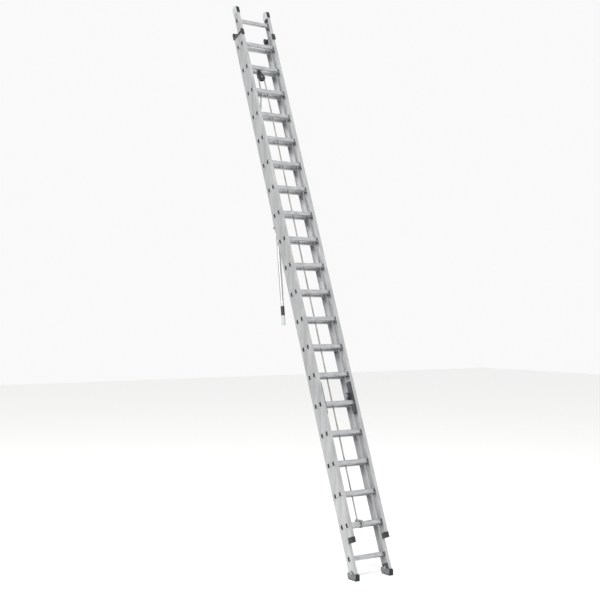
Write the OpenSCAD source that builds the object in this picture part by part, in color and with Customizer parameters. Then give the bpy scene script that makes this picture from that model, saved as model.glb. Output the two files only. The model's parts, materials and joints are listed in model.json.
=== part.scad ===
// Two-section extension ladder, leaning as it stands in use, feet flat on the floor.
// Local ladder frame: X across, Y from the climber's face backwards, Z up along the rails.
// Local Z is 0 one rung pitch below the first rung. Each node is then leaned back onto its feet.

/* [Ladder] */
// Overall width across the rails
width = 442; // [380:1:540]
// Rungs in each section
rung_count = 20; // [6:1:20]
// Distance from rung to rung
pitch = 304.8; // [254:0.1:366]
// Lean from plumb, in degrees
lean = 21.5; // [10:0.5:25]

/* [Rails] */
// Depth of a base rail, front to back
base_depth = 96; // [80:1:116]
// Depth of a fly rail, front to back
fly_depth = 74; // [62:1:90]
// Width of the rail flanges
flange_w = 36; // [30:1:38]
// Thickness of the webs
web_t = 2.5; // [2:0.1:3]
// Thickness of the flanges
flange_t = 3; // [2.4:0.1:3.6]
// Running gap between the two sections
slide_gap = 1; // [0.8:0.1:1.4]
// Thickness of the hook that holds the fly on the base
hook_t = 3; // [2.4:0.1:3.6]

/* [Rungs] */
// Half the height of a rung, which is rounded above and below
rung_r = 25; // [20:0.5:27]
// Depth of a rung between its flat front and back
rung_w = 34; // [30:1:40]
// Wall of the rung tube
rung_wall = 1.8; // [1.4:0.1:2.4]
// Width of the swaged ring round a rung's end
swage_w = 5; // [3:0.5:6]
// Thickness of that ring
swage_t = 2.5; // [2:0.1:3]

/* [Shoes] */
// Height of a shoe's pivot above the floor
shoe_h = 66; // [64:1:80]
// Length of the sole
sole_len = 130; // [120:1:150]
// Thickness of the rubber pad
pad_t = 8; // [6:0.5:10]
// Thickness of the shoe's steel
shoe_t = 4; // [3:0.5:5]
// Radius of the pivot bolt
shoe_bolt_r = 6; // [5:0.5:7]

/* [Pulley and rope] */
// Radius of the rope's path round the sheave
sheave_r = 36.5; // [30:0.5:42]
// Width of the sheave
sheave_w = 22; // [20:1:24]
// Radius of the rope
rope_r = 8; // [6:0.5:9]
// Radius of the axle
axle_r = 6; // [5:0.5:7]

/* [Rung locks] */
// Thickness of a lock's hook
pawl_t = 14; // [10:1:16]
// Height of a lock's casting
casting_h = 186; // [150:2:230]
// Radius of the lock's pin
pawl_pin_r = 5; // [4:0.5:6]

/* [Stay] */
// Radius of the stay's outer tube
stay_r = 19; // [16:0.5:20]
// Length of the outer tube
stay_len = 650; // [500:10:700]
// Swing of the stay away from the rails, in degrees
stay_swing = 14.2; // [10:0.1:30]
// Wall of the stay's tubes
stay_wall = 1.6; // [1.2:0.1:2]
// Radius of the stay's pivot pin
stay_pin_r = 5; // [4:0.5:6]

/* [Hidden] */
$fn = 48;
run = 0.05;       // radial clearance of a pin in its bore
clear = 1;        // clearance between parts that pass each other
half_w = width / 2;
web_in = half_w - web_t;
flange_in = half_w - flange_w;
total_depth = fly_depth + slide_gap + base_depth;
base_front = fly_depth + slide_gap;
base_mid = base_front + base_depth / 2;
fly_mid = fly_depth / 2;
section_len = rung_count * pitch;
base_bottom = pitch / 2;
base_top = base_bottom + section_len;
fly_bottom = base_bottom + pitch;
fly_top = fly_bottom + section_len;

// Feet: the pivot in the ladder's frame, and the sole's middle once leaned
shoe_pivot_up = 22;
pivot_z = base_bottom + shoe_pivot_up;
foot_y = pivot_z * sin(lean) + base_mid * cos(lean);
foot_z = pivot_z * cos(lean) - base_mid * sin(lean) - shoe_h;
shoe_x = half_w - flange_w / 2;
shoe_ear_gap = 1;
shoe_ear_r = 20;
toe_h = 46;
toe_t = 5;
boot_h = 62;

// Pulley under the second rung from the top of the base
pulley_rung_z = (rung_count - 1) * pitch;
pulley_x = -30;
pulley_y = fly_depth + 6;
pulley_z = pulley_rung_z - 91;
cheek_t = 3;
cheek_gap = 1;
cheek_w = 24;
sheave_rim = sheave_r + rope_r + 2.5;

// Locks five rungs up the fly
lock_rung_z = 6 * pitch;
lock_gap = 31.2;
casting_z = lock_rung_z + lock_gap;
casting_in = half_w - 45;
casting_drop = 108;
pawl_y = base_front + 13;
pawl_z = lock_rung_z + rung_r + 15;
pawl_open = 120;
pawl_x = casting_in - clear - pawl_t;
pawl_boss_r = 12;
finger_t = 6;
finger_len = 30;
finger_y = base_mid + 15;
finger_z = pawl_z;
finger_pin_r = 3;

// Stay on the left rail, just below the thirteenth rung
stay_x = half_w - 41;
stay_y = total_depth + 25;
stay_z = 12.5 * pitch;
stay_head_len = 44;
inner_r = stay_r - stay_wall - 0.3;
inner_len = 960;
grip_top = 806;
grip_len = 100;
foot_top = 906;
foot_len = 100;
ear_t = 4;
ear_gap = 0.5;
stay_eye_r = 12;
clip_z = stay_z - 150;
clip_in = stay_r + 2.5;
clip_t = 2.5;
clip_h = 26;
clip_open = 65;

// Rope: the hauling part and the part that lifts the fly, chosen by hand in the ladder's frame
knot_x = -60;
knot_y = fly_mid + rung_w / 2 + 20;
knot_z = 2 * pitch + 40;
run_route = [
    [pulley_x + sheave_r, pulley_y, pulley_z], [6, 80, 5500], [0, 79, 5050], [-12, 77, 4400],
    [-26, 75, 3500], [-40, 73, 2600], [-52, 71, 1700], [-60, 69, 1000], [knot_x, knot_y, knot_z + 10]
];
arc_steps = 12;
over_sheave = [for (i = [0 : arc_steps]) let (a = 180 * i / arc_steps)
    [pulley_x + sheave_r * cos(a), pulley_y, pulley_z + sheave_r * sin(a)]];
haul_tail = [
    [-72, 80, 5560], [-77, 83, 5490], [-82, 97, 5430], [-90, 125, 5330], [-97, 153, 5235],
    [-101, 160, 5130], [-118, 167, 4850], [-140, 176, 4500], [-160, 188, 4150], [-178, 221, 3886]
];
haul_route = concat(over_sheave, haul_tail);
rope_sides = 10;

aluminium = [0.78, 0.79, 0.80];
bright = [0.88, 0.89, 0.90];
black = [0.13, 0.13, 0.14];
dark_grey = [0.32, 0.33, 0.35];
steel = [0.55, 0.56, 0.58];
rope_white = [0.85, 0.85, 0.82];

// ---- Frames and helpers ----

module on_ladder() translate([0, -foot_y, -foot_z]) rotate([-lean, 0, 0]) children();

module on_side(side) mirror([side < 0 ? 1 : 0, 0, 0]) children();

// A cylinder along X from x0 to x1, at y, z
module bar_x(x0, x1, y, z, r) translate([x0, y, z]) rotate([0, 90, 0]) cylinder(h = x1 - x0, r = r);

module box(x0, x1, y0, y1, z0, z1) translate([x0, y0, z0]) cube([x1 - x0, y1 - y0, z1 - z0]);

// A flat shape drawn in Y and Z, made x1 - x0 thick
module plate_x(x0, x1) translate([x0, 0, 0]) rotate([90, 0, 90]) linear_extrude(x1 - x0) children();

function unit(v) = v / norm(v);
function along(route, i) = unit(route[min(i + 1, len(route) - 1)] - route[max(i - 1, 0)]);
function ring(route, i, r, n) = let (
    t = along(route, i),
    u = unit(cross(t, [0, 1, 0.01])),
    w = cross(t, u)
) [for (k = [0 : n - 1]) route[i] + r * (cos(360 * k / n) * u + sin(360 * k / n) * w)];

// A round tube along a route
module rope(route, r, n) {
    last = (len(route) - 1) * n;
    points = [for (i = [0 : len(route) - 1]) each ring(route, i, r, n)];
    sides = [for (i = [0 : len(route) - 2], k = [0 : n - 1])
        [i * n + k, i * n + (k + 1) % n, (i + 1) * n + (k + 1) % n, (i + 1) * n + k]];
    start = [[for (k = [n - 1 : -1 : 0]) k]];
    end = [[for (k = [0 : n - 1]) last + k]];
    polyhedron(points, concat(sides, start, end));
}

// ---- Rungs ----

// The rung's outline, flat in front and behind; grow is added all round
module rung_outline(grow) intersection() {
    circle(r = rung_r + grow);
    square([rung_w + 2 * grow, 4 * rung_r], center = true);
}

module rung(y, z) difference() {
    union() {
        translate([0, y, z]) plate_x(-half_w - swage_t, half_w + swage_t) rung_outline(0);
        for (side = [-1, 1]) on_side(side) {
            bar_x(half_w, half_w + swage_t, y, z, rung_r + swage_w);
            bar_x(web_in - swage_t, web_in, y, z, rung_r + swage_w);
        }
    }
    translate([0, y, z]) plate_x(-half_w - swage_t - 1, half_w + swage_t + 1) rung_outline(-rung_wall);
}

module rung_holes(y, first) for (i = [first : first + rung_count - 1])
    translate([0, y, i * pitch]) plate_x(web_in - 1, half_w + 1) rung_outline(0);

module base_rungs() color(bright) on_ladder() for (i = [1 : rung_count]) rung(base_mid, i * pitch);

module fly_rungs() color(bright) on_ladder() for (i = [2 : rung_count + 1]) rung(fly_mid, i * pitch);

// ---- Rails ----

base_flange_in = flange_in + hook_t + clear;

module base_section() polygon([
    [base_flange_in, base_front], [half_w, base_front], [half_w, total_depth],
    [flange_in, total_depth], [flange_in, total_depth - flange_t],
    [web_in, total_depth - flange_t], [web_in, base_front + flange_t],
    [base_flange_in, base_front + flange_t]
]);

// The fly's back flange carries the hook that runs round the base's front flange
hook_y = base_front + flange_t + clear;
hook_reach = 12;
module fly_section() polygon([
    [flange_in, 0], [half_w, 0], [half_w, fly_depth], [flange_in + hook_t, fly_depth],
    [flange_in + hook_t, hook_y], [flange_in + hook_reach, hook_y],
    [flange_in + hook_reach, hook_y + hook_t], [flange_in, hook_y + hook_t],
    [flange_in, fly_depth - flange_t], [web_in, fly_depth - flange_t], [web_in, flange_t],
    [flange_in, flange_t]
]);

module base_rail(side) color(aluminium) on_ladder() on_side(side) difference() {
    translate([0, 0, base_bottom]) linear_extrude(section_len) base_section();
    rung_holes(base_mid, 1);
    bar_x(web_in - 1, half_w + 1, base_mid, pivot_z, shoe_bolt_r + run);
}

module fly_rail(side) color(aluminium) on_ladder() on_side(side) difference() {
    translate([0, 0, fly_bottom]) linear_extrude(section_len) fly_section();
    rung_holes(fly_mid, 2);
}

// ---- Top guides, on the base's rails ----

guide_h = 44;
guide_z = base_top - 20;
guide_in = half_w + swage_t + clear;
guide_out = guide_in + 5;
guide_front = -4;
guide_back = hook_y + hook_t + clear;
guide_band_h = 16;
guide_rivet_y = [base_mid - 22, base_mid + 22];
guide_rivet_z = guide_z + guide_band_h / 2;

// A band across the outside of both rails, a block behind and a lip in front of the fly
module top_guide(side) color(black) on_ladder() on_side(side) difference() {
    union() {
        box(flange_in, guide_out, guide_back, total_depth + 5, base_top, base_top + 8);
        box(half_w, guide_out, base_mid - 34, total_depth + 5, guide_z, base_top + 8);
        box(guide_in, guide_out, guide_front - 6, total_depth, guide_z, guide_z + guide_band_h);
        box(flange_in + 2, guide_out, guide_front - 6, guide_front, guide_z - 30, base_top + 20);
        box(flange_in, guide_out, total_depth - 26, total_depth + 5, base_top, base_top + guide_h);
        bar_x(flange_in, guide_out, total_depth - 12, base_top + guide_h, 14);
    }
    for (y = guide_rivet_y) bar_x(web_in, guide_out + 1, y, guide_rivet_z, 3);
}

module guide_rivets() color(steel) on_ladder() for (side = [-1, 1]) on_side(side)
    for (y = guide_rivet_y) union() {
        bar_x(half_w, guide_out + 1, y, guide_rivet_z, 3);
        bar_x(guide_out, guide_out + 3, y, guide_rivet_z, 5.5);
    }

// ---- Feet ----

// Both rivets sit ahead of the pivot, clear of the shoe as it tips up
boot_rivet_y = [base_mid - 32, base_mid - 9];
boot_rivet_z = base_bottom + 56;

module boot(side) color(dark_grey) on_ladder() on_side(side) difference() {
    box(flange_in + 1, web_in, base_front + flange_t, total_depth - flange_t, base_bottom - 3,
        base_bottom + boot_h);
    bar_x(flange_in, half_w, base_mid, pivot_z, shoe_bolt_r + run);
    for (y = boot_rivet_y) bar_x(flange_in, half_w, y, boot_rivet_z, 3);
}

module boot_rivets() color(steel) on_ladder() for (side = [-1, 1]) on_side(side)
    for (y = boot_rivet_y) bar_x(half_w, half_w + 2.5, y, boot_rivet_z, 6);

shoe_in = flange_in - shoe_ear_gap - shoe_t;
shoe_out = half_w + shoe_ear_gap + shoe_t;

module shoe_bolt(side) color(steel) translate([0, 0, shoe_h]) rotate([-lean, 0, 0]) on_side(side) union() {
    bar_x(shoe_in - 1, shoe_out + 1, 0, 0, shoe_bolt_r);
    bar_x(shoe_out + 0.5, shoe_out + 6, 0, 0, 2 * shoe_bolt_r - 1);
    bar_x(shoe_in - 6, shoe_in - 0.5, 0, 0, 2 * shoe_bolt_r - 1);
}

module shoe_side() difference() {
    union() {
        circle(r = shoe_ear_r);
        polygon([
            [-sole_len / 2, pad_t - shoe_h], [-sole_len / 2, -6], [-shoe_ear_r, 2], [shoe_ear_r, 2],
            [sole_len / 2, -8], [sole_len / 2, pad_t - shoe_h + 16], [sole_len / 2 - 14, pad_t - shoe_h]
        ]);
    }
    circle(r = shoe_bolt_r + run);
}

module shoe(side) color(dark_grey) on_side(side) union() {
    box(shoe_in, shoe_out, -sole_len / 2, sole_len / 2 - 14, pad_t, pad_t + shoe_t);
    box(shoe_in, shoe_out, -sole_len / 2, shoe_t - sole_len / 2, pad_t, pad_t + toe_h);
    translate([0, 0, shoe_h]) {
        plate_x(shoe_in, shoe_in + shoe_t) shoe_side();
        plate_x(shoe_out - shoe_t, shoe_out) shoe_side();
    }
}

tread_bars = 7;
module shoe_pad(side) color(black) on_side(side) difference() {
    union() {
        box(shoe_in, shoe_out, -sole_len / 2 - toe_t, sole_len / 2 - 12, 0, pad_t);
        box(shoe_in, shoe_out, -sole_len / 2 - toe_t, -sole_len / 2, 0, pad_t + toe_h);
    }
    for (i = [1 : tread_bars - 1])
        translate([0, -sole_len / 2 + i * sole_len / tread_bars, 0])
            box(shoe_in, shoe_out, -1.5, 1.5, -1, 2.5);
}

// ---- End caps ----

cap_wall = 2;
cap_z = fly_top - 60;
module cap_shell(side, z0, z1) box(flange_in - cap_wall, half_w + cap_wall, -cap_wall,
    fly_depth + cap_wall, z0, z1);

module top_cap(side) color(aluminium) on_ladder() on_side(side) difference() {
    union() {
        cap_shell(side, cap_z, fly_top + 6);
        bar_x(flange_in - cap_wall, half_w + cap_wall, fly_mid, fly_top + 2, fly_mid + cap_wall);
    }
    box(flange_in, half_w, 0, fly_depth, cap_z - 1, fly_top + 0.02);
    box(flange_in - 4, flange_in + hook_reach + 1, fly_depth - 1, hook_y + 9, cap_z - 1, fly_top + 8);
    bar_x(half_w - 1, half_w + 5, fly_mid, cap_z + 12, 3);
}

module top_pad(side) color(black) on_ladder() on_side(side) intersection() {
    box(flange_in - cap_wall, half_w + cap_wall, -cap_wall - 5, -cap_wall, cap_z + 4, fly_top + 20);
    bar_x(flange_in - 8, half_w + 8, fly_mid, fly_top - 18, fly_mid + 19);
}

foot_cap_back = fly_depth - 8;
foot_cap_h = 40;
module bottom_cap(side) color(black) on_ladder() on_side(side) difference() {
    box(flange_in - cap_wall, half_w + cap_wall, -cap_wall - 1, foot_cap_back, fly_bottom - 14,
        fly_bottom + foot_cap_h);
    box(flange_in, half_w, 0, fly_depth, fly_bottom, fly_bottom + foot_cap_h + 1);
}

module cap_rivets() color(steel) on_ladder() for (side = [-1, 1]) on_side(side) union() {
    bar_x(half_w, half_w + cap_wall + 1, fly_mid, cap_z + 12, 3);
    bar_x(half_w + cap_wall, half_w + cap_wall + 2, fly_mid, cap_z + 12, 5);
}

// ---- Rung locks ----

bolt_y = [20, fly_depth - 20];
bolt_z = [casting_z + 60, casting_z + casting_h - 24];

// The inner plate runs on past the fly's rung and carries the pin behind the fly's rails
module casting_plate() difference() {
    union() {
        translate([flange_t, lock_rung_z - casting_drop])
            square([fly_depth - 2 * flange_t, casting_drop + lock_gap + casting_h]);
        translate([fly_depth - 20, pawl_z - 13]) square([pawl_y - fly_depth + 20, 26]);
        translate([pawl_y, pawl_z]) circle(r = 13);
    }
    translate([fly_mid, lock_rung_z]) rung_outline(1);
}

module lock_casting(side) color(dark_grey) on_ladder() on_side(side) difference() {
    union() {
        box(web_in - 8, web_in, flange_t, fly_depth - flange_t, casting_z, casting_z + casting_h);
        box(casting_in, web_in, fly_depth - flange_t - 26, fly_depth - flange_t, casting_z,
            casting_z + 62);
        plate_x(casting_in, casting_in + 6) casting_plate();
        box(casting_in, web_in, flange_t + 14, fly_depth - 12, casting_z + casting_h - 12,
            casting_z + casting_h);
    }
    bar_x(casting_in - 1, half_w, pawl_y, pawl_z, pawl_pin_r);
    for (y = bolt_y, z = bolt_z) bar_x(web_in - 9, half_w, y, z, 4);
}

module lock_bolts() color(steel) on_ladder() for (side = [-1, 1], y = bolt_y, z = bolt_z)
    on_side(side) bar_x(half_w, half_w + 2.4, y, z, 6);

spring_turns = 6;
spring_pitch = 3;
spring_in = pawl_pin_r + 1;
spring_x = pawl_x - clear - spring_turns * spring_pitch;

module lock_pins() color(steel) on_ladder() for (side = [-1, 1]) on_side(side) union() {
    bar_x(spring_x - 3, casting_in + 6, pawl_y, pawl_z, pawl_pin_r);
    bar_x(spring_x - 5, spring_x - 2, pawl_y, pawl_z, pawl_pin_r + 3);
}

// Drawn hooked over a base rung
module pawl_outline() difference() {
    union() {
        translate([pawl_y, pawl_z]) circle(r = pawl_boss_r);
        polygon([
            [pawl_y - 6, pawl_z - 10], [base_mid, lock_rung_z + 8], [base_mid + rung_r - 2, lock_rung_z + 4],
            [base_mid + rung_r + 12, lock_rung_z + 4], [base_mid + rung_r + 14, lock_rung_z + 30],
            [base_mid + rung_r + 2, lock_rung_z + rung_r + 25], [pawl_y, pawl_z + pawl_boss_r]
        ]);
    }
    translate([base_mid, lock_rung_z]) circle(r = rung_r + 0.5);
    translate([pawl_y, pawl_z]) circle(r = pawl_pin_r + run);
    translate([finger_y, finger_z]) circle(r = finger_pin_r);
}

// Swung up off the rung, so that the rungs can pass
module opened() translate([0, pawl_y, pawl_z]) rotate([pawl_open, 0, 0])
    translate([0, -pawl_y, -pawl_z]) children();

module pawl(side) color(dark_grey) on_ladder() on_side(side) opened()
    plate_x(pawl_x, pawl_x + pawl_t) pawl_outline();

finger_x = pawl_x - 1 - finger_t;
module finger_pins(side) color(steel) on_ladder() on_side(side) opened() union() {
    bar_x(finger_x - 1, pawl_x + pawl_t, finger_y, finger_z, finger_pin_r);
    bar_x(finger_x - 3, finger_x - 0.5, finger_y, finger_z, finger_pin_r + 2);
}

// The finger hangs plumb from the opened hook
finger_arm = finger_y - pawl_y;
module finger(side) color(black) on_ladder() on_side(side)
    translate([0, pawl_y + finger_arm * cos(pawl_open), pawl_z + finger_arm * sin(pawl_open)])
        rotate([lean, 0, 0]) plate_x(finger_x, finger_x + finger_t) difference() {
            union() {
                circle(r = 8);
                translate([-7, -finger_len]) square([14, finger_len]);
                translate([0, -finger_len]) circle(r = 7);
            }
            circle(r = finger_pin_r + run);
        }

// A coil round the pin, drawn as a ribbed sleeve
module lock_spring(side) color(steel) on_ladder() on_side(side)
    translate([spring_x, pawl_y, pawl_z]) rotate([0, 90, 0]) rotate_extrude() polygon(concat(
        [[spring_in, 0]],
        [for (i = [0 : spring_turns - 1], k = [0 : 1])
            [spring_in + 1 + 1.6 * k, spring_pitch * (i + 0.5 * k)]],
        [[spring_in + 1, spring_pitch * spring_turns], [spring_in, spring_pitch * spring_turns]]
    ));

// ---- Pulley ----

cheek_y = sheave_w / 2 + cheek_gap;
yoke_z = pulley_z + sheave_rim + 2;
yoke_h = 12;

module pulley_hanger() color(dark_grey) on_ladder()
    plate_x(pulley_x - cheek_w / 2, pulley_x + cheek_w / 2) difference() {
        union() {
            translate([base_mid, pulley_rung_z]) circle(r = rung_r + 5);
            polygon([
                [base_mid, pulley_rung_z + rung_r + 5], [base_mid - rung_r, pulley_rung_z + rung_r],
                [pulley_y - 9, yoke_z + yoke_h + 16], [pulley_y - 9, yoke_z + yoke_h],
                [pulley_y + 9, yoke_z + yoke_h], [base_mid - rung_r, pulley_rung_z - rung_r]
            ]);
        }
        translate([base_mid, pulley_rung_z]) rung_outline(0);
    }

module pulley_cheeks() color(dark_grey) on_ladder() translate([pulley_x, pulley_y, 0]) difference() {
    union() {
        box(-cheek_w / 2, cheek_w / 2, -cheek_y - cheek_t, cheek_y + cheek_t, yoke_z, yoke_z + yoke_h);
        for (y = [-cheek_y - cheek_t, cheek_y]) {
            box(-cheek_w / 2, cheek_w / 2, y, y + cheek_t, pulley_z, yoke_z + 1);
            translate([0, y, pulley_z]) rotate([-90, 0, 0]) cylinder(h = cheek_t, r = cheek_w / 2);
        }
    }
    translate([0, -cheek_y - cheek_t - 1, pulley_z]) rotate([-90, 0, 0])
        cylinder(h = 2 * (cheek_y + cheek_t + 1), r = axle_r);
}

module pulley_axle() color(steel) on_ladder() translate([pulley_x, pulley_y, pulley_z])
    rotate([-90, 0, 0]) union() {
        translate([0, 0, -cheek_y - cheek_t - 1]) cylinder(h = 2 * (cheek_y + cheek_t + 1), r = axle_r);
        for (z = [-cheek_y - cheek_t - 2.5, cheek_y + cheek_t]) translate([0, 0, z])
            cylinder(h = 2.5, r = axle_r + 3);
    }

module pulley_sheave() color(black) on_ladder() translate([pulley_x, pulley_y, pulley_z])
    rotate([-90, 0, 0]) difference() {
        translate([0, 0, -sheave_w / 2]) cylinder(h = sheave_w, r = sheave_rim);
        rotate_extrude() translate([sheave_r, 0]) circle(r = rope_r + 0.5);
        rotate_extrude() translate([sheave_r, -rope_r - 0.5]) square([sheave_rim, 2 * rope_r + 1]);
        translate([0, 0, -sheave_w]) cylinder(h = 2 * sheave_w, r = axle_r + run);
        for (a = [0 : 72 : 359]) rotate([0, 0, a]) translate([19, 0, -sheave_w])
            cylinder(h = 2 * sheave_w, r = 5.5);
    }

// ---- Rope ----

module rope_run() color(rope_white) on_ladder() rope(run_route, rope_r, rope_sides);

module rope_haul() color(rope_white) on_ladder() rope(haul_route, rope_r, rope_sides);

module rope_knot() color(rope_white) on_ladder() union() {
    for (x = [knot_x - rope_r - 1, knot_x + rope_r + 1]) translate([x, fly_mid, 2 * pitch])
        rotate([0, 90, 0]) rotate_extrude() translate([rung_r + rope_r + 0.3, 0]) circle(r = rope_r);
    translate([knot_x, knot_y - 5, knot_z - 8]) sphere(r = 15);
    translate([knot_x, knot_y, knot_z - 12]) cylinder(h = 21.4, r = rope_r);
}

// The rope is made fast through the eye of a tab on the stay's bracket
tab_z = 3860;
tab_t = 5;
tab_end = total_depth + 35.5;
hitch_y = tab_end - 2.5;
eye_r = rope_r + 1.5;
module rope_hitch() color(rope_white) on_ladder() union() {
    translate([-stay_x, hitch_y, tab_z]) rotate_extrude() translate([rope_r + 4, 0]) circle(r = rope_r);
    translate([-stay_x, hitch_y + 22, tab_z + 8]) sphere(r = 15);
}

// ---- Stay on the left rail ----

module on_stay() on_ladder() translate([-stay_x, stay_y, stay_z]) rotate([stay_swing, 0, 0]) children();

bracket_lo = stay_z - 22;
bracket_hi = stay_z + 150;
bracket_t = 4;
stay_half = 13;
bracket_bolt_x = flange_in + flange_w / 2;
bracket_bolt_z = [stay_z + 48, stay_z + 124];

module stay_bracket() color(dark_grey) on_ladder() mirror([1, 0, 0]) difference() {
    union() {
        box(stay_x - stay_half - ear_gap - ear_t, half_w, total_depth, total_depth + bracket_t,
            bracket_lo, bracket_hi);
        for (x = [stay_x - stay_half - ear_gap - ear_t, stay_x + stay_half + ear_gap]) {
            box(x, x + ear_t, total_depth, stay_y, stay_z - 12, stay_z + 12);
            bar_x(x, x + ear_t, stay_y, stay_z, 12);
        }
        box(stay_x - tab_t / 2, stay_x + tab_t / 2, total_depth, tab_end, tab_z - 16, tab_z + 16);
    }
    bar_x(stay_x - 40, stay_x + 40, stay_y, stay_z, stay_pin_r);
    bar_x(stay_x - 4, stay_x + 4, hitch_y - rope_r - 4, tab_z, eye_r);
    for (z = bracket_bolt_z) translate([bracket_bolt_x, total_depth - 1, z]) rotate([-90, 0, 0])
        cylinder(h = bracket_t + 2, r = 4);
}

module stay_bracket_bolts() color(steel) on_ladder() mirror([1, 0, 0]) for (z = bracket_bolt_z)
    translate([bracket_bolt_x, total_depth, z]) rotate([-90, 0, 0]) union() {
        cylinder(h = bracket_t + 1, r = 4);
        translate([0, 0, bracket_t]) cylinder(h = 4, r = 7);
    }

module stay_pin() color(steel) on_ladder() mirror([1, 0, 0]) union() {
    bar_x(stay_x - stay_half - 8, stay_x + stay_half + 8, stay_y, stay_z, stay_pin_r);
    for (x = [stay_x - stay_half - 8, stay_x + stay_half + 5]) bar_x(x, x + 3, stay_y, stay_z, stay_pin_r + 3);
}

module stay_clip() color(black) on_ladder() mirror([1, 0, 0]) union() {
    translate([stay_x, stay_y, clip_z]) difference() {
        cylinder(h = clip_h, r = clip_in + clip_t);
        translate([0, 0, -1]) cylinder(h = clip_h + 2, r = clip_in);
        translate([0, 0, -1]) linear_extrude(clip_h + 2) polygon([
            [0, 0], [60 * sin(clip_open), 60 * cos(clip_open)], [0, 120], [-60 * sin(clip_open), 60 * cos(clip_open)]
        ]);
    }
    difference() {
        box(flange_in, half_w - 2, total_depth, total_depth + 3, clip_z - 12, clip_z + clip_h + 12);
        translate([stay_x, stay_y, clip_z - 20]) cylinder(h = clip_h + 40, r = clip_in);
    }
}

module stay_head() color(black) on_stay() difference() {
    union() {
        bar_x(-stay_half, stay_half, 0, 0, stay_eye_r);
        translate([0, 0, -stay_head_len]) cylinder(h = stay_head_len - 6, r = stay_eye_r);
        translate([0, 0, -stay_head_len - 30]) cylinder(h = 30, r = stay_r - stay_wall);
    }
    bar_x(-stay_half - 1, stay_half + 1, 0, 0, stay_pin_r + run);
}

module tube(z0, z1, r_out, r_in) translate([0, 0, z0]) difference() {
    cylinder(h = z1 - z0, r = r_out);
    translate([0, 0, -1]) cylinder(h = z1 - z0 + 2, r = r_in);
}

module stay_tube() color(aluminium) on_stay()
    tube(-stay_head_len - stay_len, -stay_head_len, stay_r, stay_r - stay_wall);

module stay_inner() color(bright) on_stay()
    tube(-inner_len, -stay_head_len - 50, inner_r, inner_r - stay_wall);

module stay_grip() color(black) on_stay() tube(-grip_top - grip_len, -grip_top, inner_r + 3, inner_r);

module stay_foot() color(aluminium) on_stay() difference() {
    union() {
        translate([0, 0, -foot_top - foot_len]) cylinder(h = foot_len, r = inner_r + 3);
        translate([0, 0, -foot_top - foot_len]) cylinder(h = 10, r = inner_r + 5);
    }
    translate([0, 0, -inner_len]) cylinder(h = inner_len, r = inner_r);
}

base_rail(-1);  // base_rail_left
base_rail(1);  // base_rail_right
base_rungs();
fly_rail(-1);  // fly_rail_left
fly_rail(1);  // fly_rail_right
fly_rungs();
top_guide(-1);  // top_guide_left
top_guide(1);  // top_guide_right
guide_rivets();
boot(-1);  // boot_left
boot(1);  // boot_right
boot_rivets();
shoe_bolt(-1);  // shoe_bolt_left
shoe_bolt(1);  // shoe_bolt_right
shoe(-1);  // shoe_left
shoe(1);  // shoe_right
shoe_pad(-1);  // shoe_pad_left
shoe_pad(1);  // shoe_pad_right
top_cap(-1);  // top_cap_left
top_cap(1);  // top_cap_right
top_pad(-1);  // top_pad_left
top_pad(1);  // top_pad_right
bottom_cap(-1);  // bottom_cap_left
bottom_cap(1);  // bottom_cap_right
cap_rivets();
lock_casting(-1);  // lock_casting_left
lock_casting(1);  // lock_casting_right
lock_bolts();
lock_pins();
pawl(-1);  // pawl_left
pawl(1);  // pawl_right
finger_pins(-1);  // finger_pins_left
finger_pins(1);  // finger_pins_right
finger(-1);  // finger_left
finger(1);  // finger_right
lock_spring(-1);  // lock_spring_left
lock_spring(1);  // lock_spring_right
pulley_hanger();
pulley_cheeks();
pulley_axle();
pulley_sheave();
rope_run();
rope_haul();
rope_knot();
rope_hitch();
stay_bracket();
stay_bracket_bolts();
stay_pin();
stay_clip();
stay_head();
stay_tube();
stay_inner();
stay_grip();
stay_foot();
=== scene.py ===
import json
import math

import bpy
from mathutils import Matrix, Vector

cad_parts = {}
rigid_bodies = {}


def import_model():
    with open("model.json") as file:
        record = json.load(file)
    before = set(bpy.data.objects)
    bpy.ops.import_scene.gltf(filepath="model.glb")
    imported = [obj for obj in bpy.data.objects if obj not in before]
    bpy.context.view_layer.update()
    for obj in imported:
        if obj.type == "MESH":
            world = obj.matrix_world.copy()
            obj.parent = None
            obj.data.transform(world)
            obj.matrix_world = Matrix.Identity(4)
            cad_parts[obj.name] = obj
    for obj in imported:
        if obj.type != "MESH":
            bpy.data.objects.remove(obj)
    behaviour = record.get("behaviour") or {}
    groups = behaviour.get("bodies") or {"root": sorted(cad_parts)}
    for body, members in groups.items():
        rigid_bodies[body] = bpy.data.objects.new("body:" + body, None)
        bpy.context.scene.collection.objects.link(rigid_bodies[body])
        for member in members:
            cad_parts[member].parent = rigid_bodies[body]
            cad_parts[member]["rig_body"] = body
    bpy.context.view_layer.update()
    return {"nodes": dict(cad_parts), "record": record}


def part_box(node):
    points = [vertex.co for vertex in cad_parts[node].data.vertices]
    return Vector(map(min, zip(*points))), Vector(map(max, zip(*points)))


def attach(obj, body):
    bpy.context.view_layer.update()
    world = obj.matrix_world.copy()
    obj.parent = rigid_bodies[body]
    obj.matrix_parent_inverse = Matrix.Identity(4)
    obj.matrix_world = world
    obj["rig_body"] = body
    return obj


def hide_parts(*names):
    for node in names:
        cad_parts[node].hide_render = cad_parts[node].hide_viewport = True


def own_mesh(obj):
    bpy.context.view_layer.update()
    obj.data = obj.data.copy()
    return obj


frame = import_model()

bpy.ops.object.select_all(action="DESELECT")
MM = 0.001

# ---- The ladder's own frame, as the CAD has it ----
# x runs across, y backwards from the climber's face, z up the rails

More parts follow.
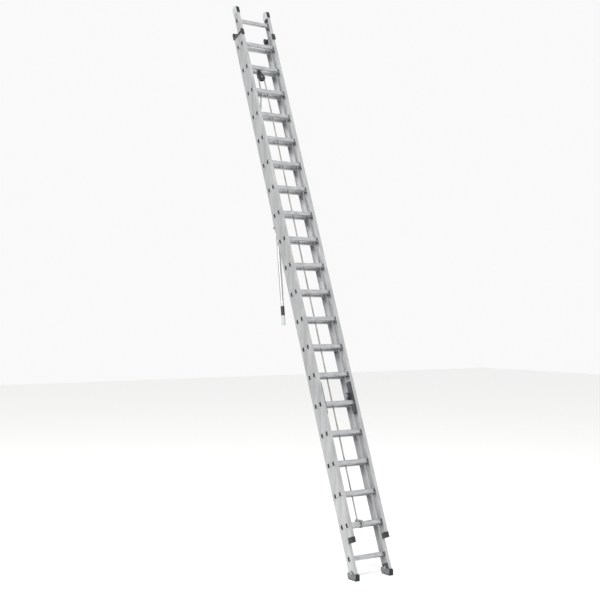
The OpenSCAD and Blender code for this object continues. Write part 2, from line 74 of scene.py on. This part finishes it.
LEAN = math.radians(21.5)
PITCH = 304.8
HALF_WIDTH = 221.0
FLY_DEPTH = 74.0
BASE_DEPTH = 96.0
BASE_MID = FLY_DEPTH + 1.0 + BASE_DEPTH / 2
TOTAL_DEPTH = FLY_DEPTH + 1.0 + BASE_DEPTH
SHOE_HEIGHT = 66.0
PIVOT_Z = PITCH / 2 + 22.0
FOOT_Y = PIVOT_Z * math.sin(LEAN) + BASE_MID * math.cos(LEAN)
FOOT_Z = PIVOT_Z * math.cos(LEAN) - BASE_MID * math.sin(LEAN) - SHOE_HEIGHT
RUNG_R = 25.0
RUNG_W = 34.0
ROPE_R = 8.0

# Takes a point of the ladder's frame, in metres, to the part's frame
LEANED = Matrix.Translation((0, -FOOT_Y * MM, -FOOT_Z * MM)) @ Matrix.Rotation(-LEAN, 4, "X")


def on_ladder(x, y, z):
    """A point given in millimetres in the ladder's frame, in metres in the part's frame."""
    return LEANED @ Vector((x * MM, y * MM, z * MM))


# ---- Camera ----

CAMERA_PLACE = (-6.055, -7.934, 2.500)
CAMERA_AZIMUTH = math.radians(33.45)
CAMERA_PITCH = math.radians(0.99)
LENS_MM = 61.64


def add_camera():
    data = bpy.data.cameras.new("camera")
    data.lens = LENS_MM
    data.sensor_width = 36.0
    data.clip_end = 100.0
    camera = bpy.data.objects.new("camera", data)
    camera.location = CAMERA_PLACE
    camera.rotation_euler = (math.pi / 2 + CAMERA_PITCH, 0, -CAMERA_AZIMUTH)
    bpy.context.scene.collection.objects.link(camera)
    bpy.context.scene.camera = camera


add_camera()

# ---- Rope: the routes are the CAD's own ----

PULLEY = (-30.0, FLY_DEPTH + 6.0, 19 * PITCH - 91.0)
SHEAVE_R = 36.5
KNOT = (-60.0, FLY_DEPTH / 2 + RUNG_W / 2 + 20.0, 2 * PITCH + 40.0)
RUN_ROUTE = [
    (PULLEY[0] + SHEAVE_R, PULLEY[1], PULLEY[2]), (6, 80, 5500), (0, 79, 5050), (-12, 77, 4400),
    (-26, 75, 3500), (-40, 73, 2600), (-52, 71, 1700), (-60, 69, 1000), (KNOT[0], KNOT[1], KNOT[2] + 10),
]
HAUL_TAIL = [
    (-72, 80, 5560), (-77, 83, 5490), (-82, 97, 5430), (-90, 125, 5330), (-97, 153, 5235),
    (-101, 160, 5130), (-118, 167, 4850), (-140, 176, 4500), (-160, 188, 4150), (-178, 221, 3886),
]
# The eye in the tab of the stay's bracket
TAB_EYE = (-(HALF_WIDTH - 41), TOTAL_DEPTH + 33, 3860.0)
ARC_STEPS = 12
# How far a turn of rope lies off what it grips
ROPE_GAP = 0.4
KNOT_STEP = 3.0
LAY_LENGTH = 72.0
RING_STEP = 7.0
ROPE_SIDES = 15
STRANDS = 3
STRAND_GROOVE = 0.2


def smooth_route(points, step):
    """Catmull-Rom through the points, in millimetres, with a point about every step."""
    p = [Vector(q) for q in points]
    p = [2 * p[0] - p[1]] + p + [2 * p[-1] - p[-2]]
    out = []
    for a, b, c, d in zip(p, p[1:], p[2:], p[3:]):
        count = max(2, round((c - b).length / step))
        for i in range(count):
            t = i / count
            out.append(0.5 * (2 * b + (c - a) * t + (2 * a - 5 * b + 4 * c - d) * t ** 2
                              + (3 * b - a - 3 * c + d) * t ** 3))
    out.append(p[-2].copy())
    return out


def laid_rope(name, points, radius=ROPE_R, step=RING_STEP, lay=LAY_LENGTH):
    """A rope of twisted strands: rings carried along the route, their outline turning as they go."""
    line = [on_ladder(*q) for q in smooth_route(points, step)]
    side = None
    along = 0.0
    verts, faces = [], []
    for i, place in enumerate(line):
        ahead = (line[min(i + 1, len(line) - 1)] - line[max(i - 1, 0)]).normalized()
        if side is None:
            side = ahead.orthogonal().normalized()
        side = (side - ahead * side.dot(ahead)).normalized()
        other = ahead.cross(side)
        if i:
            along += (place - line[i - 1]).length / MM
        for k in range(ROPE_SIDES):
            a = 2 * math.pi * k / ROPE_SIDES
            lobe = abs(math.cos(STRANDS / 2 * a - STRANDS * math.pi * along / lay))
            r = radius * MM * (1 - STRAND_GROOVE * (1 - lobe))
            verts.append(place + r * (math.cos(a) * side + math.sin(a) * other))
    for i in range(len(line) - 1):
        for k in range(ROPE_SIDES):
            a, b = i * ROPE_SIDES + k, i * ROPE_SIDES + (k + 1) % ROPE_SIDES
            faces.append((a, b, b + ROPE_SIDES, a + ROPE_SIDES))
    last = (len(line) - 1) * ROPE_SIDES
    faces.append(tuple(reversed(range(ROPE_SIDES))))
    faces.append(tuple(range(last, last + ROPE_SIDES)))
    mesh = bpy.data.meshes.new(name)
    mesh.from_pydata(verts, [], faces)
    mesh.polygons.foreach_set("use_smooth", [True] * len(faces))
    mesh.update()
    piece = bpy.data.objects.new(name, mesh)
    bpy.context.scene.collection.objects.link(piece)
    return piece


def circle_run(centre, radius, start, turn, shift, steps_per_turn=12, plane="yz"):
    """Points round a circle in the given plane, moving by shift along the third axis."""
    count = max(2, round(abs(turn) / 360 * steps_per_turn))
    out = []
    for i in range(count + 1):
        a = math.radians(start + turn * i / count)
        u, v, w = radius * math.cos(a), radius * math.sin(a), shift * i / count
        x, y, z = centre
        if plane == "yz":
            out.append((x + w, y + u, z + v))
        elif plane == "xz":
            out.append((x + u, y + w, z + v))
        else:
            out.append((x + u, y + v, z + w))
    return out


def make_ropes():
    run = laid_rope("rope_lifting_part", RUN_ROUTE)
    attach(run, "base")
    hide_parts("rope_run")

    arc = circle_run(PULLEY, SHEAVE_R, 0, 180, 0, 2 * ARC_STEPS, "xz")
    haul = laid_rope("rope_hauling_part", arc + HAUL_TAIL)
    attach(haul, "base")
    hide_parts("rope_haul")

    # A round turn on the fly's lowest rung, finished with turns round the standing part
    wrap = RUNG_R + ROPE_R + ROPE_GAP
    grip = 2 * ROPE_R + ROPE_GAP
    standing = [(KNOT[0], KNOT[1], KNOT[2] + 10), (KNOT[0], KNOT[1] - 1, KNOT[2] - 4)]
    turns = circle_run((KNOT[0] - 1, FLY_DEPTH / 2, 2 * PITCH), wrap, 35, -690, 12)
    rise = [(KNOT[0] + 12, KNOT[1] - 8, KNOT[2] - 16)]
    hitches = circle_run((KNOT[0], KNOT[1], KNOT[2] - 13), grip, 0, 900, 21, 12, "xy")
    tail = [(KNOT[0] - 14, KNOT[1] - 4, KNOT[2] - 2), (KNOT[0] - 19, KNOT[1] - 6, KNOT[2] - 26),
            (KNOT[0] - 20, KNOT[1] - 9, KNOT[2] - 62)]
    knot = laid_rope("rope_lifting_knot", standing + turns + rise + hitches + tail, step=KNOT_STEP)
    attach(knot, "fly")
    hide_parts("rope_knot")

    # The hauling part is made fast through the eye of the tab on the stay's bracket
    tab = TAB_EYE
    turns = circle_run(tab, ROPE_R + 4, 200, 590, 6, 12, "xy")
    rise = [(tab[0] - 4, tab[1] + 24, tab[2] + 2)]
    hitches = circle_run((tab[0], tab[1] + 22, tab[2] + 8), grip - 4, 180, 560, 14, 12, "xy")
    tail = [(tab[0] + 15, tab[1] + 20, tab[2] + 4), (tab[0] + 17, tab[1] + 18, tab[2] - 30),
            (tab[0] + 16, tab[1] + 14, tab[2] - 70)]
    hitch = laid_rope("rope_hauling_hitch", turns + rise + hitches + tail, step=KNOT_STEP)
    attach(hitch, "base")
    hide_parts("rope_hitch")

    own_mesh(run)
    return [run, haul, knot, hitch]


ropes = make_ropes()


# ---- Materials ----

def linear(hex_colour):
    """sRGB hex to the linear colour that a shader takes."""
    out = []
    for i in (1, 3, 5):
        c = int(hex_colour[i:i + 2], 16) / 255
        out.append(c / 12.92 if c <= 0.04045 else ((c + 0.055) / 1.055) ** 2.4)
    return (*out, 1.0)


def add_node(tree, kind, settings=None, **links):
    """Adds a node, sets its attributes and unlinked inputs, and links the rest."""
    n = tree.nodes.new(kind)
    for key, value in (settings or {}).items():
        if key in n.inputs:
            n.inputs[key].default_value = value
        else:
            setattr(n, key, value)
    for key, source in links.items():
        target = next(s for s in n.inputs if s.name.replace(" ", "_") == key)
        tree.links.new(source, target)
    return n


def new_material(name, base, roughness, metallic=0.0, **more):
    m = bpy.data.materials.new(name)
    m.use_nodes = True
    tree = m.node_tree
    shader = tree.nodes["Principled BSDF"]
    shader.inputs["Base Color"].default_value = linear(base)
    shader.inputs["Roughness"].default_value = roughness
    shader.inputs["Metallic"].default_value = metallic
    for key, value in more.items():
        shader.inputs[key.replace("_", " ")].default_value = value
    return m, tree, shader


def mapped(tree, scale, turn=(0, 0, 0)):
    """Object coordinates turned and scaled, so that a pattern runs with the leaning rails."""
    coords = add_node(tree, "ShaderNodeTexCoord")
    return add_node(tree, "ShaderNodeMapping", {"Scale": scale, "Rotation": turn, "vector_type": "POINT"},
                    Vector=coords.outputs["Object"]).outputs["Vector"]


def per_metre(size_mm):
    """How many times a pattern of this size repeats in a metre."""
    return 1000.0 / size_mm


def two_tone(tree, shader, value, low, high, start=0.35, end=0.65):
    ramp = add_node(tree, "ShaderNodeValToRGB", Fac=value)
    ramp.color_ramp.elements[0].position = start
    ramp.color_ramp.elements[0].color = linear(low)
    ramp.color_ramp.elements[1].position = end
    ramp.color_ramp.elements[1].color = linear(high)
    tree.links.new(ramp.outputs["Color"], shader.inputs["Base Color"])


def rough_between(tree, shader, value, low, high):
    spread = add_node(tree, "ShaderNodeMapRange", {"To Min": low, "To Max": high}, Value=value)
    tree.links.new(spread.outputs["Result"], shader.inputs["Roughness"])


def bump(tree, shader, value, depth_mm, strength=0.5):
    b = add_node(tree, "ShaderNodeBump", {"Strength": strength, "Distance": depth_mm * MM}, Height=value)
    tree.links.new(b.outputs["Normal"], shader.inputs["Normal"])


def extruded_aluminium(name, low, high, roughness):
    """6061 aluminium as it leaves the die: grey, with fine die lines along the length and cloudy patches."""
    m, tree, shader = new_material(name, high, roughness, metallic=0.9)
    # Die lines 3 mm apart, coarser than real ones so that they show
    lines = mapped(tree, (per_metre(3), per_metre(3), per_metre(900)), (LEAN, 0, 0))
    streaks = add_node(tree, "ShaderNodeTexNoise", {"Scale": 1.0, "Detail": 4.0, "Roughness": 0.6},
                       Vector=lines).outputs["Fac"]
    # Clouds 60 mm wide, drawn out to 380 mm along the rail
    patches = mapped(tree, (per_metre(60), per_metre(60), per_metre(380)), (LEAN, 0, 0))
    clouds = add_node(tree, "ShaderNodeTexNoise", {"Scale": 1.0, "Detail": 3.0},
                      Vector=patches).outputs["Fac"]
    both = add_node(tree, "ShaderNodeMix", {"data_type": "FLOAT", "Factor": 0.55})
    tree.links.new(streaks, both.inputs[2])
    tree.links.new(clouds, both.inputs[3])
    two_tone(tree, shader, both.outputs[0], low, high)
    rough_between(tree, shader, clouds, roughness - 0.06, roughness + 0.1)
    bump(tree, shader, streaks, 0.12, 0.35)
    return m


def ribbed_aluminium(name):
    """A rung's extrusion: bright, with grip ribs that run along it, worn smoother in patches."""
    m, tree, shader = new_material(name, "#C4C7CA", 0.34, metallic=0.9)
    # Ribs 4 mm apart round the rung, seen as lines along X
    ribs = add_node(tree, "ShaderNodeTexWave", {"Scale": 1.0, "wave_type": "BANDS", "bands_direction": "Y",
                                                "Distortion": 0.0},
                    Vector=mapped(tree, (1, per_metre(4) / 6.2, 1), (LEAN, 0, 0))).outputs["Fac"]
    wear = add_node(tree, "ShaderNodeTexNoise", {"Scale": 1.0, "Detail": 4.0},
                    Vector=mapped(tree, (per_metre(70), per_metre(20), per_metre(20)))).outputs["Fac"]
    two_tone(tree, shader, wear, "#ABADAF", "#C4C5C6")
    rough_between(tree, shader, wear, 0.26, 0.42)
    bump(tree, shader, ribs, 0.5, 0.5)
    return m


def cast_metal(name, low, high, roughness, metallic):
    """Die-cast or pressed metal with a fine pitted skin."""
    m, tree, shader = new_material(name, high, roughness, metallic=metallic)
    # Skin grain of 1.6 mm over mottling of 25 mm
    grain = add_node(tree, "ShaderNodeTexNoise", {"Scale": per_metre(1.6), "Detail": 3.0},
                     Vector=mapped(tree, (1, 1, 1))).outputs["Fac"]
    mottle = add_node(tree, "ShaderNodeTexNoise", {"Scale": per_metre(25), "Detail": 4.0},
                      Vector=mapped(tree, (1, 1, 1))).outputs["Fac"]
    two_tone(tree, shader, mottle, low, high)
    rough_between(tree, shader, mottle, roughness - 0.08, roughness + 0.08)
    bump(tree, shader, grain, 0.15, 0.4)
    return m


def moulded_plastic(name, low, high, roughness):
    """Injection-moulded nylon: a spark-eroded skin with a soft shine, scuffed a little lighter."""
    m, tree, shader = new_material(name, low, roughness)
    # Mould texture of 0.8 mm, scuffs of 18 mm
    skin = add_node(tree, "ShaderNodeTexVoronoi", {"Scale": per_metre(0.8)},
                    Vector=mapped(tree, (1, 1, 1))).outputs["Distance"]
    scuffs = add_node(tree, "ShaderNodeTexNoise", {"Scale": per_metre(18), "Detail": 5.0, "Roughness": 0.65},
                      Vector=mapped(tree, (1, 1, 1))).outputs["Fac"]
    two_tone(tree, shader, scuffs, low, high, 0.45, 0.8)
    rough_between(tree, shader, scuffs, roughness - 0.07, roughness + 0.12)
    bump(tree, shader, skin, 0.06, 0.3)
    return m


def moulded_rubber(name):
    """Tread rubber: near black, dull, dusted where it has met the ground."""
    m, tree, shader = new_material(name, "#17181A", 0.78)
    dust = add_node(tree, "ShaderNodeTexNoise", {"Scale": per_metre(12), "Detail": 6.0},
                    Vector=mapped(tree, (1, 1, 1))).outputs["Fac"]
    two_tone(tree, shader, dust, "#141517", "#2B2C2D", 0.4, 0.8)
    rough_between(tree, shader, dust, 0.7, 0.92)
    bump(tree, shader, dust, 0.2, 0.35)
    return m


def zinc_plate(name):
    """Bright zinc on steel fasteners, with a faint blue spangle."""
    m, tree, shader = new_material(name, "#B4B8BC", 0.33, metallic=1.0)
    spangle = add_node(tree, "ShaderNodeTexVoronoi", {"Scale": per_metre(3)},
                       Vector=mapped(tree, (1, 1, 1))).outputs["Color"]
    grey = add_node(tree, "ShaderNodeRGBToBW", Color=spangle).outputs["Val"]
    two_tone(tree, shader, grey, "#A3A8AD", "#C3C6C8", 0.2, 0.8)
    rough_between(tree, shader, grey, 0.26, 0.42)
    return m


def laid_polypropylene(name):
    """Split-film rope fibre: soiled grey with a slight sheen and fine fibre lines."""
    m, tree, shader = new_material(name, "#92918E", 0.6, Sheen_Weight=0.1)
    # Fibres 1.2 mm apart and 12 mm long, coarser than real ones so that they show, over soiling of 140 mm
    threads = mapped(tree, (per_metre(1.2), per_metre(1.2), per_metre(12)), (LEAN, 0, 0))
    fibres = add_node(tree, "ShaderNodeTexNoise", {"Scale": 1.0, "Detail": 4.0},
                      Vector=threads).outputs["Fac"]
    soil = add_node(tree, "ShaderNodeTexNoise", {"Scale": per_metre(140), "Detail": 3.0},
                    Vector=mapped(tree, (1, 1, 1))).outputs["Fac"]
    two_tone(tree, shader, soil, "#6E6E6C", "#92918E")
    rough_between(tree, shader, fibres, 0.5, 0.75)
    bump(tree, shader, fibres, 0.4, 0.6)
    return m


FINISHES = {
    "rail_aluminium": extruded_aluminium("mill_finish_aluminium", "#A8A9AA", "#C4C5C5", 0.42),
    "rung_aluminium": ribbed_aluminium("ribbed_rung_aluminium"),
    "black_plastic": moulded_plastic("black_nylon", "#1B1C1E", "#2E2F31", 0.45),
    "dark_casting": cast_metal("grey_die_casting", "#3C3E41", "#55575A", 0.5, 0.6),
    "zinc_steel": zinc_plate("zinc_plated_steel"),
    "shoe_steel": cast_metal("plated_shoe_steel", "#6A6D70", "#868A8D", 0.45, 0.8),
    "pad_rubber": moulded_rubber("tread_rubber"),
    "cap_grey": moulded_plastic("light_grey_plastic", "#A2A5A7", "#B7B9BA", 0.5),
    "rope_fibre": laid_polypropylene("polypropylene_rope"),
}

slot_of = {s["node"]: s["material_slot"] for s in frame["record"]["subparts"]}


def finish_with(piece, slot_name):
    piece.data.materials.clear()
    piece.data.materials.append(FINISHES[slot_name])


for node_name, cad_node in frame["nodes"].items():
    for material_slot in cad_node.material_slots:
        material_slot.material = FINISHES[slot_of[node_name]]
for piece in ropes:
    finish_with(piece, "rope_fibre")


# ---- Pieces that stand for plain CAD nodes ----

def only(piece):
    bpy.ops.object.select_all(action="DESELECT")
    piece.select_set(True)
    bpy.context.view_layer.objects.active = piece


def apply_modifiers(piece):
    only(piece)
    for modifier in list(piece.modifiers):
        bpy.ops.object.modifier_apply(modifier=modifier.name)


def bevelled(piece, width_mm, segments=2):
    edge = piece.modifiers.new("edges", "BEVEL")
    edge.width = width_mm * MM
    edge.segments = segments
    edge.limit_method = "ANGLE"
    edge.angle_limit = math.radians(40)
    edge.use_clamp_overlap = True
    apply_modifiers(piece)
    bpy.ops.object.shade_smooth_by_angle(angle=math.radians(35))


def softened(node_name, width_mm, segments=2):
    """A copy of a cast, moulded or pressed part with its edges rounded, in place of the sharp one."""
    cad_node = frame["nodes"][node_name]
    piece = bpy.data.objects.new(node_name + "_rounded", cad_node.data.copy())
    bpy.context.scene.collection.objects.link(piece)
    only(piece)
    bpy.ops.object.mode_set(mode="EDIT")
    bpy.ops.mesh.select_all(action="SELECT")
    bpy.ops.mesh.remove_doubles(threshold=0.02 * MM)
    bpy.ops.mesh.dissolve_limited(angle_limit=math.radians(0.5))
    bpy.ops.object.mode_set(mode="OBJECT")
    bevelled(piece, width_mm, segments)
    finish_with(piece, slot_of[node_name])
    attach(piece, cad_node["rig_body"])
    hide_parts(node_name)
    return piece


SOFT_EDGES = {
    "top_guide": 2.0, "top_cap": 3.0, "bottom_cap": 2.5, "lock_casting": 1.5, "pawl": 1.6, "boot": 1.0,
    "shoe": 1.0, "finger": 1.2, "top_pad": 2.0,
}
for stem, edge_mm in SOFT_EDGES.items():
    for side_name in ("left", "right"):
        softened(f"{stem}_{side_name}", edge_mm)
for stem, edge_mm in {"pulley_hanger": 1.5, "pulley_cheeks": 0.8, "stay_bracket": 1.0, "stay_head": 1.5,
                      "stay_foot": 1.5}.items():
    softened(stem, edge_mm)


SPRING_WIRE_R = 1.1
SPRING_TURNS = 5


def lock_coil(side_name):
    """The lock's torsion spring: a wire ring wound along the pin by a screw."""
    low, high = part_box("lock_spring_" + side_name)
    centre = (low + high) / 2
    wire = SPRING_WIRE_R * MM
    coil_r = (high.z - low.z) / 2 - wire
    length = high.x - low.x - 2 * wire
    bpy.ops.mesh.primitive_circle_add(vertices=8, radius=wire, location=(0, 0, 0),
                                      rotation=(math.pi / 2, 0, 0))
    piece = bpy.context.object
    piece.name = "lock_coil_" + side_name
    bpy.ops.object.transform_apply(location=False, rotation=True, scale=False)
    piece.data.transform(Matrix.Translation((coil_r, 0, 0)))
    wind = piece.modifiers.new("wind", "SCREW")
    wind.axis = "Z"
    wind.steps = 24
    wind.render_steps = 24
    wind.iterations = SPRING_TURNS
    wind.screw_offset = length / SPRING_TURNS
    wind.use_merge_vertices = False
    apply_modifiers(piece)
    bpy.ops.object.mode_set(mode="EDIT")
    bpy.ops.mesh.select_all(action="SELECT")
    bpy.ops.mesh.normals_make_consistent(inside=False)
    bpy.ops.mesh.select_all(action="DESELECT")
    bpy.ops.mesh.select_non_manifold()
    bpy.ops.mesh.edge_face_add()
    bpy.ops.object.mode_set(mode="OBJECT")
    bpy.ops.object.shade_smooth_by_angle(angle=math.radians(50))
    start = Vector((centre.x - length / 2, centre.y, centre.z))
    piece.data.transform(Matrix.Translation(start) @ Matrix.Rotation(math.pi / 2, 4, "Y"))
    finish_with(piece, "zinc_steel")
    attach(piece, "fly")
    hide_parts("lock_spring_" + side_name)


for side_name in ("left", "right"):
    lock_coil(side_name)


# ---- Floor and light ----

def add_floor():
    bpy.ops.mesh.primitive_plane_add(size=60, location=(0, 0, -0.0005))
    floor = bpy.context.object
    floor.name = "floor"
    floor.data.materials.append(new_material("pale_floor", "#F4F4F3", 0.9)[0])


def add_light(name, place, aim, size, watts):
    data = bpy.data.lights.new(name, "AREA")
    data.size = size
    data.energy = watts
    light = bpy.data.objects.new(name, data)
    light.location = place
    light.rotation_euler = (Vector(aim) - Vector(place)).to_track_quat("-Z", "Y").to_euler()
    bpy.context.scene.collection.objects.link(light)


def add_world(level):
    world = bpy.data.worlds.new("studio")
    bpy.context.scene.world = world
    world.use_nodes = True
    back = world.node_tree.nodes["Background"]
    back.inputs["Color"].default_value = (1, 1, 1, 1)
    back.inputs["Strength"].default_value = level


add_floor()
add_light("key", (-4.0, -5.0, 11.0), (0, 1.5, 4.0), 5.0, 950)
add_light("fill", (-9.0, -4.0, 5.0), (0, 1.0, 3.0), 5.0, 450)
add_world(0.95)
bpy.context.scene.view_settings.view_transform = "Standard"
